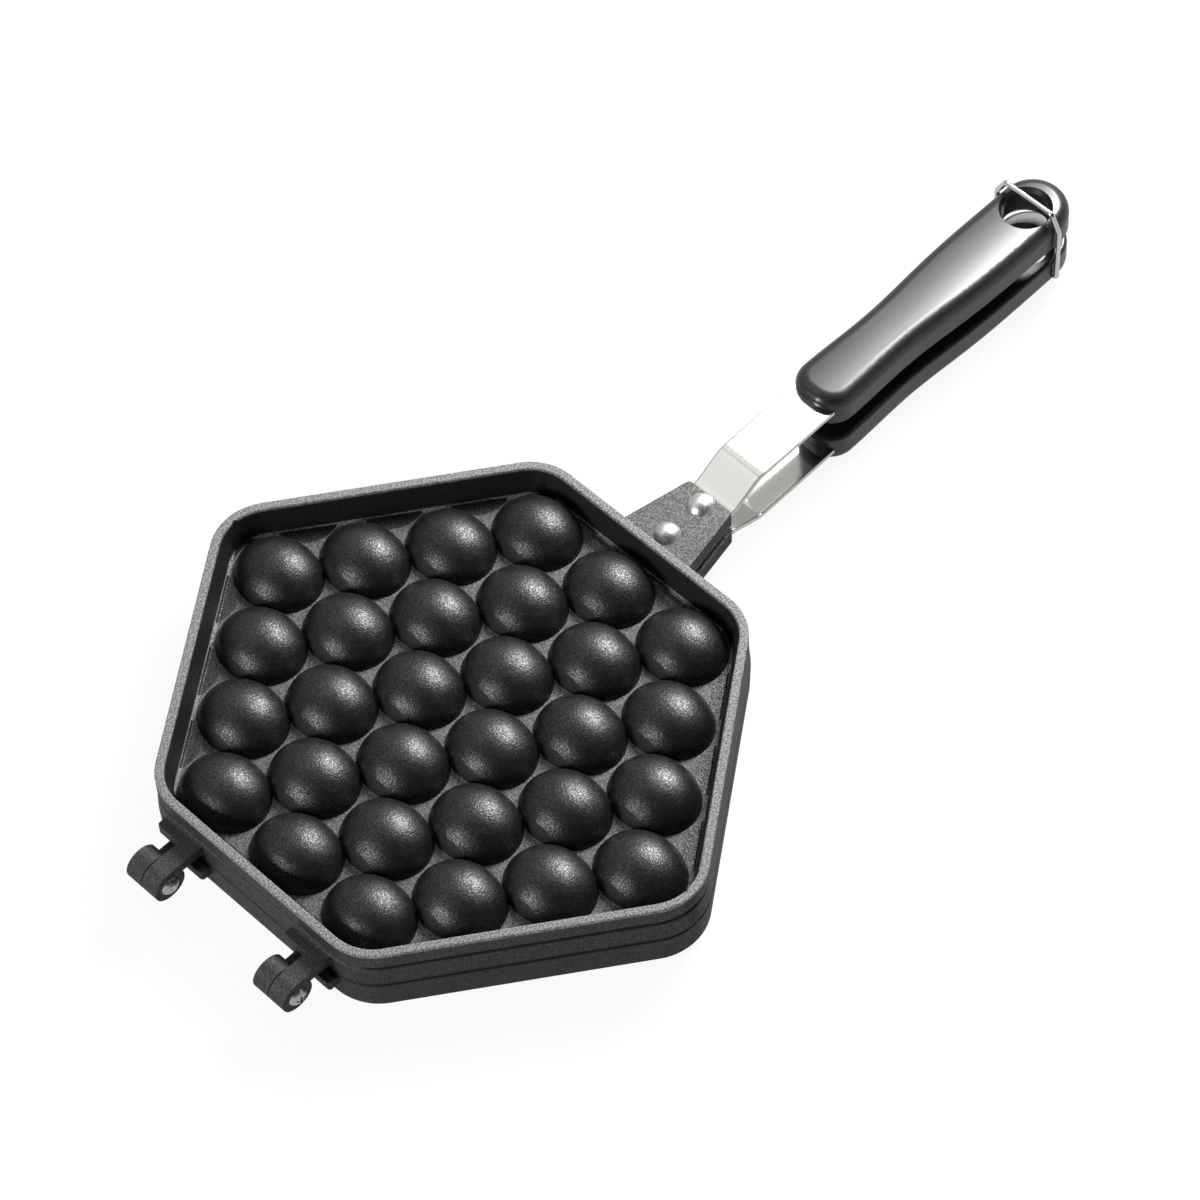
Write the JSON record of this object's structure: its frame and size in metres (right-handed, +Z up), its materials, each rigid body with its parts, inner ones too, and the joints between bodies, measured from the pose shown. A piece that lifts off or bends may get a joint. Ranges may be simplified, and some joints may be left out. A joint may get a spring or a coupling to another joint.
{
  "type": "egg waffle pan",
  "caption": "Hinged two-part stovetop pan for egg waffles, with oval cups in both halves, strap handles with moulded grips and a wire bail that holds the grips shut.",
  "frame": {"origin": "middle of the closed pan's footprint, on the surface that the lower half's rim stands on", "axes": "+X from the hinges to the grips along the handles, +Y across, parallel to the hinge axis, +Z up"},
  "size_m": [0.4074, 0.218, 0.0408],
  "materials": {
    "coating": "grainy non-stick coating on cast aluminium",
    "strap_steel": "mirror-polished steel strip",
    "rivet_metal": "polished",
    "pin_steel": "bright turned steel",
    "grip_plastic": "glossy moulded heat-proof plastic",
    "wire_steel": "bright drawn wire",
    "screw_steel": "zinc-plated"
  },
  "bodies": {
    "lower_half": {"lower_plate": "coating", "lower_strap": "strap_steel", "lower_grip": "grip_plastic", "lower_rivet_inner": "rivet_metal", "lower_rivet_outer": "rivet_metal", "hinge_pin_right": "pin_steel", "hinge_pin_left": "pin_steel", "lower_grip_screw": "screw_steel"},
    "upper_half": {"upper_plate": "coating", "upper_strap": "strap_steel", "upper_grip": "grip_plastic", "upper_rivet_inner": "rivet_metal", "upper_rivet_outer": "rivet_metal", "upper_grip_screw": "screw_steel"},
    "bail": {"bail": "wire_steel"}
  },
  "joints": [
    {"name": "lid_hinge", "type": "hinge", "parent": "lower_half", "child": "upper_half", "pos_m": [-0.19742, 0, 0.015], "axis": [0, -1, 0], "range_deg": [0, 178]},
    {"name": "bail_hinge", "type": "hinge", "parent": "lower_half", "child": "bail", "pos_m": [0.18854, 0, 0.0086], "axis": [0, 1, 0], "range_deg": [-8, 100]}
  ]
}
